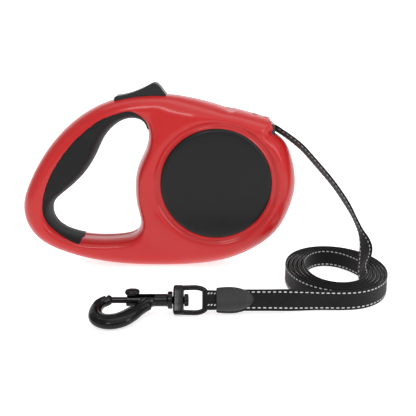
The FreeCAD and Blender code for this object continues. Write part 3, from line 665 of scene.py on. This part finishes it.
# ---------------------------------------------------------------- tape
FREE_ROUTE = [
    (77.0, 0.0, 95.2), (92.0, -3.5, 86.3), (104.5, -7.5, 72.5), (116.5, -11.5, 59.0),
    (126.5, -15.0, 44.5), (133.5, -19.5, 30.5), (136.5, -26.0, 21.0), (134.5, -34.0, 14.8),
    (131.0, -42.0, 9.5),
]
RUN_ROUTE = [(97.0, -81.2, 6.6), (79.0, -83.6, 7.6), (59.6, -86.0, 8.6), (40.0, -86.0, 8.6)]
COIL = Vector((113.5, -40.4, 0.0))
COIL_REACH = (33.0, 41.0)
COIL_INSET = 0.4
COIL_PITCH = 2.4
COIL_TURNS = 5.25
TAPE_WIDTH = 12.5
TAPE_THICK = 1.15
TAPE_STEP = 1.55
# Twists as (start, end, degrees) along the tape, in mm from the nozzle.
TWISTS = [(4.0, 24.0, -4.0), (66.0, 84.0, 7.0), (88.0, 108.0, -36.0)]
# The tape comes to stand on its edge between these two lengths from the nozzle.
UPRIGHT = (104.0, 140.0)
# It comes to lean with the leash end between these two lengths before its far end.
LEANING = (62.0, 24.0)
STITCH_PITCH = 3.1
STITCH_LENGTH = 1.9
STITCH_WIDTH = 0.72
STITCH_HEIGHT = 0.2
STITCH_MARGIN = 4.0
STITCH_INSET = 1.7
LEAN_ANGLE = 35.0
ROLL_ANGLE = 12.0
LEAN = math.radians(LEAN_ANGLE)
END = Vector((13.3, -86.0, 8.6))


def coil_points(per_turn=20):
    """Turns from the inner right, clockwise from above, out to the front."""
    points = []
    count = int(COIL_TURNS * per_turn)
    for k in range(1, count + 1):
        turn = 2 * math.pi * k / per_turn
        left = COIL_TURNS - k / per_turn
        angle = -turn
        packed = 1.0 - 0.4 * max(0.0, math.sin(angle)) ** 6 + 0.2 * max(0.0, -math.cos(angle)) ** 4
        shrink = COIL_PITCH * left * packed
        x = COIL.x + (COIL_REACH[0] - COIL_INSET - shrink) * math.cos(angle)
        y = COIL.y + (COIL_REACH[1] - COIL_INSET - shrink) * math.sin(angle)
        points.append((x, y, TAPE_WIDTH / 2 + 0.25 * math.sin(turn * 0.61) ** 2 * min(1.0, left)))
    return points


def smooth_line(name, route):
    """Points along the NURBS line that has the route as its control points."""
    curve = bpy.data.curves.new(name, "CURVE")
    curve.dimensions = "3D"
    spline = curve.splines.new("NURBS")
    spline.points.add(len(route) - 1)
    for spot, given in zip(spline.points, route):
        spot.co = (given[0] * MM, given[1] * MM, given[2] * MM, 1.0)
    spline.order_u = 3
    spline.use_endpoint_u = True
    spline.resolution_u = 8
    holder = bpy.data.objects.new(name, curve)
    mesh = bpy.data.meshes.new_from_object(holder)
    line = [v.co / MM for v in mesh.vertices]
    bpy.data.objects.remove(holder)
    bpy.data.curves.remove(curve)
    bpy.data.meshes.remove(mesh)
    return line


def resampled(line, step):
    """The line at even steps near the given one, and its length."""
    lengths = [0.0]
    for a, b in zip(line, line[1:]):
        lengths.append(lengths[-1] + (b - a).length)
    count = max(2, round(lengths[-1] / step))
    out, k = [], 0
    for i in range(count + 1):
        s = lengths[-1] * i / count
        while k < len(line) - 2 and lengths[k + 1] < s:
            k += 1
        span = max(lengths[k + 1] - lengths[k], 1e-9)
        out.append(line[k].lerp(line[k + 1], min(1.0, (s - lengths[k]) / span)))
    return out, lengths[-1]


def tape_frames(line, total):
    """Tangent, width direction and thickness direction at each point of the tape."""
    step = total / (len(line) - 1)
    frames = []
    side, down = Vector((1, 0, 0)), Vector((0, 0, -1))
    lean = Vector((0, -math.sin(LEAN), -math.cos(LEAN)))
    for i, spot in enumerate(line):
        way = (line[min(i + 1, len(line) - 1)] - line[max(i - 1, 0)]).normalized()
        s = i * step
        standing = float(ease(s, *UPRIGHT))
        leaning = float(ease(s, total - LEANING[0], total - LEANING[1]))
        turn = sum(degrees * float(ease(s, start, end)) for start, end, degrees in TWISTS)
        if standing < 1:
            wide = Matrix.Rotation(math.radians(turn), 3, way) @ side.cross(way).normalized()
            wide = (wide * (1 - standing) + down * standing).normalized()
        else:
            wide = down
        if leaning > 0:
            wide = wide.slerp(lean, leaning)
        wide = (wide - way * wide.dot(way)).normalized()
        frames.append((spot, way, wide, way.cross(wide)))
    return frames


def add_ring_strip(points, faces, rings):
    """Adds a skin over the rings, closed by a face at each end."""
    first = len(points)
    size = len(rings[0])
    for ring in rings:
        points += [tuple(p) for p in ring]
    for k in range(len(rings) - 1):
        for j in range(size):
            a, b = first + k * size + j, first + k * size + (j + 1) % size
            faces.append((a, b, b + size, a + size))
    faces.append(tuple(first + j for j in reversed(range(size))))
    faces.append(tuple(first + (len(rings) - 1) * size + j for j in range(size)))


def band_section(width, thick):
    """Rounded flat section: (across, through) pairs."""
    half, r = width / 2, thick / 2
    section = []
    for j in range(9):
        section.append((-half + r + (width - thick) * j / 8, r))
    for j in range(1, 4):
        a = math.pi / 2 - math.pi * j / 4
        section.append((half - r + r * math.cos(a), r * math.sin(a)))
    for j in range(9):
        section.append((half - r - (width - thick) * j / 8, -r))
    for j in range(1, 4):
        a = -math.pi / 2 - math.pi * j / 4
        section.append((-half + r + r * math.cos(a), r * math.sin(a)))
    return section


def stitch(points, faces, spot, way, wide, up, long, broad, high):
    """One thread lying in the tape: a low rounded dash."""
    rings = []
    for t, grow in ((-1.0, 0.35), (-0.8, 0.8), (-0.4, 1.0), (0.4, 1.0), (0.8, 0.8), (1.0, 0.35)):
        centre = spot + way * (t * long / 2)
        ring = []
        for j in range(6):
            a = 2 * math.pi * j / 6
            ring.append(centre + wide * (math.cos(a) * broad / 2 * grow)
                        + up * (math.sin(a) * high * grow))
        rings.append(ring)
    add_ring_strip(points, faces, rings)


def build_tape():
    """The whole outer tape with its stitches; also its centreline and length."""
    line = smooth_line("tape_line", FREE_ROUTE + coil_points() + RUN_ROUTE)
    line, total = resampled(line, TAPE_STEP)
    frames = tape_frames(line, total)
    section = band_section(TAPE_WIDTH, TAPE_THICK)
    points, faces, rings, uvs = [], [], [], []
    for k, (spot, way, wide, up) in enumerate(frames):
        rings.append([spot + wide * a + up * t for a, t in section])
        uvs += [(k * total / (len(frames) - 1), a) for a, t in section]
    add_ring_strip(points, faces, rings)
    picks = [0] * len(faces)
    s = STITCH_MARGIN
    while s < total - STITCH_MARGIN:
        i = s / total * (len(frames) - 1)
        k = int(i)
        spot, way, wide, up = (frames[k][n].lerp(frames[k + 1][n], i - k) for n in range(4))
        for row in (-1, 1):
            for face in (-1, 1):
                base = spot + wide * (row * (TAPE_WIDTH / 2 - STITCH_INSET))
                base = base + up * (face * TAPE_THICK / 2)
                stitch(points, faces, base, way, wide, up,
                       STITCH_LENGTH, STITCH_WIDTH, STITCH_HEIGHT)
        s += STITCH_PITCH
    picks += [1] * (len(faces) - len(picks))
    uvs += [(0.0, 0.0)] * (len(points) - len(uvs))
    tape = piece("tape", points, faces, [TAPE, THREAD], "case", picks, uvs)
    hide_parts("tape_free", "tape_coil", "tape_run")
    return tape, line, total


# ---------------------------------------------------------------- leash end
def end_frame(angle):
    """Frame of the leash end in mm, turned about X by degrees."""
    return Matrix.Translation(END) @ Matrix.Rotation(math.radians(angle), 4, "X")


LEANED = end_frame(-LEAN_ANGLE)
ROLLED = end_frame(ROLL_ANGLE)
BAR_STEP = 0.45
BAR_CAP = 1.6


def put(place, points):
    """The points moved into a frame."""
    return [place @ Vector(p) for p in points]


def swept(route, sizes, across, power=2.3, sides=20):
    """Closed bar along a smooth flat route; sizes are (in plane, across) half widths."""
    line, _ = resampled(smooth_line("bar", route), BAR_STEP)
    across = Vector(across)
    points, faces, rings = [], [], []
    last = len(line) - 1
    for k, spot in enumerate(line):
        way = (line[min(k + 1, last)] - line[max(k - 1, 0)]).normalized()
        u = k / last * (len(sizes) - 1)
        n = min(int(u), len(sizes) - 2)
        near = min(k, last - k) * BAR_STEP
        cap = math.sqrt(max(0.0, 1 - max(0.0, 1 - near / BAR_CAP) ** 2)) * 0.97 + 0.03
        a, b = (sizes[n][i] + (sizes[n + 1][i] - sizes[n][i]) * (u - n) for i in range(2))
        sideways = across.cross(way)
        ring = []
        for j in range(sides):
            angle = 2 * math.pi * j / sides
            c, q = math.cos(angle), math.sin(angle)
            size = (abs(c) ** power + abs(q) ** power) ** (-1 / power) * cap
            ring.append(spot + sideways * (c * a * size) + across * (q * b * size))
        rings.append(ring)
    add_ring_strip(points, faces, rings)
    return points, faces


def turned_x(profile, count=40):
    """Body turned about the local X axis from (x, radius) pairs, closed at both ends."""
    points, faces, rings = [], [], []
    for x, r in profile:
        rings.append([Vector((x, r * math.cos(2 * math.pi * k / count),
                              r * math.sin(2 * math.pi * k / count))) for k in range(count)])
    add_ring_strip(points, faces, rings)
    return points, faces


def rounded_block(low, high, power=5.0, rows=16, count=32):
    """Block with soft edges: a superellipsoid between two corners."""
    middle = [(a + b) / 2 for a, b in zip(low, high)]
    half = [(b - a) / 2 for a, b in zip(low, high)]
    points, faces, rings = [], [], []

    def soft(value):
        return math.copysign(abs(value) ** (2 / power), value)

    for i in range(1, rows):
        v = -math.pi / 2 + math.pi * i / rows
        ring = []
        for k in range(count):
            u = 2 * math.pi * k / count
            ring.append(Vector((middle[0] + half[0] * soft(math.cos(v)) * soft(math.cos(u)),
                                middle[1] + half[1] * soft(math.cos(v)) * soft(math.sin(u)),
                                middle[2] + half[2] * soft(math.sin(v)))))
        rings.append(ring)
    add_ring_strip(points, faces, rings)
    return points, faces


def cast(name, parts, voxel, rounds, look, body):
    """Joins closed parts (points in mm, faces) into one smooth casting."""
    points, faces = [], []
    for part_points, part_faces in parts:
        first = len(points)
        points += [tuple(p) for p in part_points]
        faces += [tuple(first + v for v in f) for f in part_faces]
    mesh = bpy.data.meshes.new(name + "_rough")
    mesh.from_pydata(points, [], faces)
    holder = bpy.data.objects.new(name + "_rough", mesh)
    bpy.context.collection.objects.link(holder)
    remesh = holder.modifiers.new("join", "REMESH")
    remesh.mode = "VOXEL"
    remesh.voxel_size = voxel
    relax = holder.modifiers.new("relax", "SMOOTH")
    relax.factor = 0.5
    relax.iterations = rounds
    graph = bpy.context.evaluated_depsgraph_get()
    done = bpy.data.meshes.new_from_object(holder.evaluated_get(graph))
    points = [tuple(v.co) for v in done.vertices]
    faces = [tuple(f.vertices) for f in done.polygons]
    bpy.data.objects.remove(holder)
    bpy.data.meshes.remove(mesh)
    bpy.data.meshes.remove(done)
    return piece(name, points, faces, [look], body)


BARREL_SPAN = (-26.6, -2.6)
BARREL_RADII = (2.5, 3.3)
BARREL_GROWTH = 1.16
# The fuller bow of the hook: control points, and its half widths along them.
ARM_ROUTE = [
    (-12.0, -4.7, 0), (-17.5, -7.4, 0), (-22.0, -13.0, 0), (-27.5, -18.8, 0), (-35.0, -20.6, 0),
    (-41.2, -17.5, 0), (-42.9, -10.8, 0), (-41.6, -4.2, 0), (-38.2, -0.4, 0),
]
ARM_SIZES = [
    (2.2, 2.3), (3.9, 2.8), (4.9, 3.2), (5.3, 3.3), (5.2, 3.3), (4.6, 3.2), (3.9, 3.1),
    (3.3, 2.9), (2.7, 2.7),
]
# The swivel ring's bow.
BOW_BAR = 19.35
BOW_ROUTE = [
    (3.0, 0, -7.0), (9.0, 0, -7.2), (14.5, 0, -7.3), (18.6, 0, -5.6), (BOW_BAR, 0, -2.0),
    (BOW_BAR, 0, 2.0), (18.6, 0, 5.6), (14.5, 0, 7.3), (9.0, 0, 7.2), (3.0, 0, 7.0),
]
BOW_SIZES = [(1.5, 1.6), (1.5, 1.5), (1.5, 1.5), (1.5, 1.6)]


def hook_casting():
    """The CAD hook in mm, with a stouter barrel round the same bore."""
    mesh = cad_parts["hook_body"].data
    back = ROLLED.inverted()
    points = []
    for vertex in mesh.vertices:
        p = back @ (vertex.co / MM)
        radius = math.hypot(p.y, p.z)
        along = BARREL_SPAN[0] < p.x < BARREL_SPAN[1]
        if along and BARREL_RADII[0] < radius < BARREL_RADII[1]:
            p.y, p.z = p.y * BARREL_GROWTH, p.z * BARREL_GROWTH
        points.append(ROLLED @ p)
    return points, [tuple(f.vertices) for f in mesh.polygons]


def build_hook():
    """The snap hook with a fuller bow, and its bolt with the thumb knob."""
    arm = swept(ARM_ROUTE, ARM_SIZES, (0, 0, 1))
    hook = cast("snap_hook", [hook_casting(), (put(ROLLED, arm[0]), arm[1])],
                0.32, 5, GUNMETAL, "hook")
    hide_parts("hook_body")
    rod = turned_x([(-38.8, 1.2), (-38.5, 1.85), (-19.3, 1.85), (-19.0, 1.4)])
    post = rounded_block((-23.6, -1.0, 0.5), (-21.4, 1.0, 5.0))
    knob = rounded_block((-27.2, -2.9, 3.95), (-18.7, 2.9, 7.1), 2.4)
    bolt = cast("sliding_bolt", [(put(ROLLED, part[0]), part[1]) for part in (rod, post, knob)],
                0.25, 4, GUNMETAL, "bolt")
    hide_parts("hook_bolt")
    return hook, bolt


def build_ring():
    """The swivel ring: a round bow cast onto a block."""
    bow = swept(BOW_ROUTE, BOW_SIZES, (0, 1, 0), 2.0)
    block = rounded_block((0.0, -2.8, -8.5), (6.2, 2.8, 8.5), 7.0)
    ring = cast("swivel_loop", [(put(LEANED, part[0]), part[1]) for part in (bow, block)],
                0.3, 4, GUNMETAL, "ring")
    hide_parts("swivel_ring")
    return ring


KEEPER_START = 24.6
KEEPER_LENGTH = 21.5
KEEPER_TIP = 46.07
KEEPER_NOSE = 31.6
KEEPER_TAPER = 14.5
KEEPER_HALF_HEIGHT = 7.0
KEEPER_HALF_THICKNESS = 3.7
KEEPER_SWELL = 0.5
KEEPER_RIM_STOPS = [24.62, 24.75, 25.0, 25.3]
KEEPER_SHIFT = 0.45
KEEPER_GAP = 0.35
KEEPER_POWER = 2.6


def keeper_form(x):
    """Half height and half thickness of the keeper at x mm from the swivel."""
    swell = math.sin(min(1.0, (x - KEEPER_START) / (KEEPER_NOSE - KEEPER_START)) * math.pi / 2)
    t = min(1.0, max(0.0, (x - KEEPER_NOSE) / KEEPER_TAPER))
    tall = (KEEPER_HALF_HEIGHT + KEEPER_SWELL * swell) * (1 - t ** 2.1) ** 0.5
    thick = (KEEPER_HALF_THICKNESS + KEEPER_SWELL * swell) * (1 - t ** 3.0) ** 0.5
    return tall, thick


def keeper_ring(x, side, shift):
    """Closed section of one cheek at x: its rounded outside, then its flat inside."""
    tall, thick = keeper_form(min(x, KEEPER_TIP))
    tall -= shift
    rim = math.sqrt(max(0.02, 1 - max(0.0, 1 - (x - KEEPER_START) / 0.8) ** 2)) * 0.1 + 0.9
    ring = []
    for k in range(17):
        a = math.pi * k / 16
        c, q = math.cos(a), math.sin(a)
        size = (abs(c) ** KEEPER_POWER + abs(q) ** KEEPER_POWER) ** (-1 / KEEPER_POWER)
        out = KEEPER_GAP + (thick * rim - KEEPER_GAP) * q * size
        ring.append((x, side * out, shift + tall * rim * c * size))
    ring += [(x, side * KEEPER_GAP, shift + tall * rim * (k - 3.5) / 4) for k in range(8)]
    return put(LEANED, ring)


def build_keeper():
    """The keeper's two cheeks over the sewn fold."""
    stops = [KEEPER_START + KEEPER_LENGTH * (1 - math.cos(math.pi * k / 30)) / 2
             for k in range(31)]
    stops = KEEPER_RIM_STOPS + [x for x in stops if x > KEEPER_START + 1.0]
    made = []
    for side, shift, name, node in ((-1, KEEPER_SHIFT, "keeper_upper", "keeper_front"),
                                    (1, 0.0, "keeper_lower", "keeper_rear")):
        points, faces = [], []
        add_ring_strip(points, faces, [keeper_ring(x, side, shift) for x in stops])
        if side > 0:
            faces = [f[::-1] for f in faces]
        made.append(piece(name, points, faces, [KEEPER], "case"))
        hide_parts(node)
    return made


FOLD_RADIUS = 2.35
NECK_STEP = 0.5
NECK_WIDTH = 10.6
NECK_THICK = 1.0
NECK_STITCHES = ((20.2, 2.75), (21.9, 2.9), (23.8, 2.35))
NECK_STITCH_ROW = 3.3


def build_neck():
    """Tape folded round the ring's bar, with short slanted stitches."""
    route = [(28.0, -1.0, 0), (25.0, -1.3, 0), (22.2, -2.3, 0)]
    for k in range(1, 8):
        a = -math.pi / 2 - math.pi * k / 8
        route.append((BOW_BAR + FOLD_RADIUS * math.cos(a), FOLD_RADIUS * math.sin(a), 0))
    route += [(22.2, 2.3, 0), (25.0, 1.3, 0), (28.0, 1.0, 0)]
    line, _ = resampled(smooth_line("neck", route), NECK_STEP)
    section = band_section(NECK_WIDTH, NECK_THICK)
    points, faces, rings, uvs = [], [], [], []
    up = Vector((0, 0, 1))
    for k, spot in enumerate(line):
        way = (line[min(k + 1, len(line) - 1)] - line[max(k - 1, 0)]).normalized()
        out = up.cross(way)
        rings.append(put(LEANED, [spot + up * a + out * t for a, t in section]))
        uvs += [(k * NECK_STEP, a) for a, t in section]
    add_ring_strip(points, faces, rings)
    picks = [0] * len(faces)
    turn = LEANED.to_3x3()
    for x, y in NECK_STITCHES:
        for z in (-NECK_STITCH_ROW, NECK_STITCH_ROW):
            for face in (-1, 1):
                spot = LEANED @ Vector((x, face * y, z))
                stitch(points, faces, spot, turn @ Vector((0.8, 0, 0.6)),
                       turn @ Vector((-0.6, 0, 0.8)), turn @ Vector((0, 1, 0)), 1.3, 0.7, 0.3)
    picks += [1] * (len(faces) - len(picks))
    uvs += [(0.0, 0.0)] * (len(points) - len(uvs))
    neck = piece("tape_neck", points, faces, [TAPE, THREAD], "case", picks, uvs)
    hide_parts("tape_end")
    return neck


# ---------------------------------------------------------------- put together
camera()
lights()
paint_nodes()
build_case()
GRIPS = grip_field()
grip_half(-1, "front_soft_grip", "front_grip", GRIPS)
grip_half(1, "rear_soft_grip", "rear_grip", GRIPS)
badge(-1, "front_disc", "front_badge")
badge(1, "rear_disc", "rear_badge")
tape, tape_line, tape_total = build_tape()
hook, bolt = build_hook()
ring = build_ring()
keepers = build_keeper()
neck = build_neck()

floor()
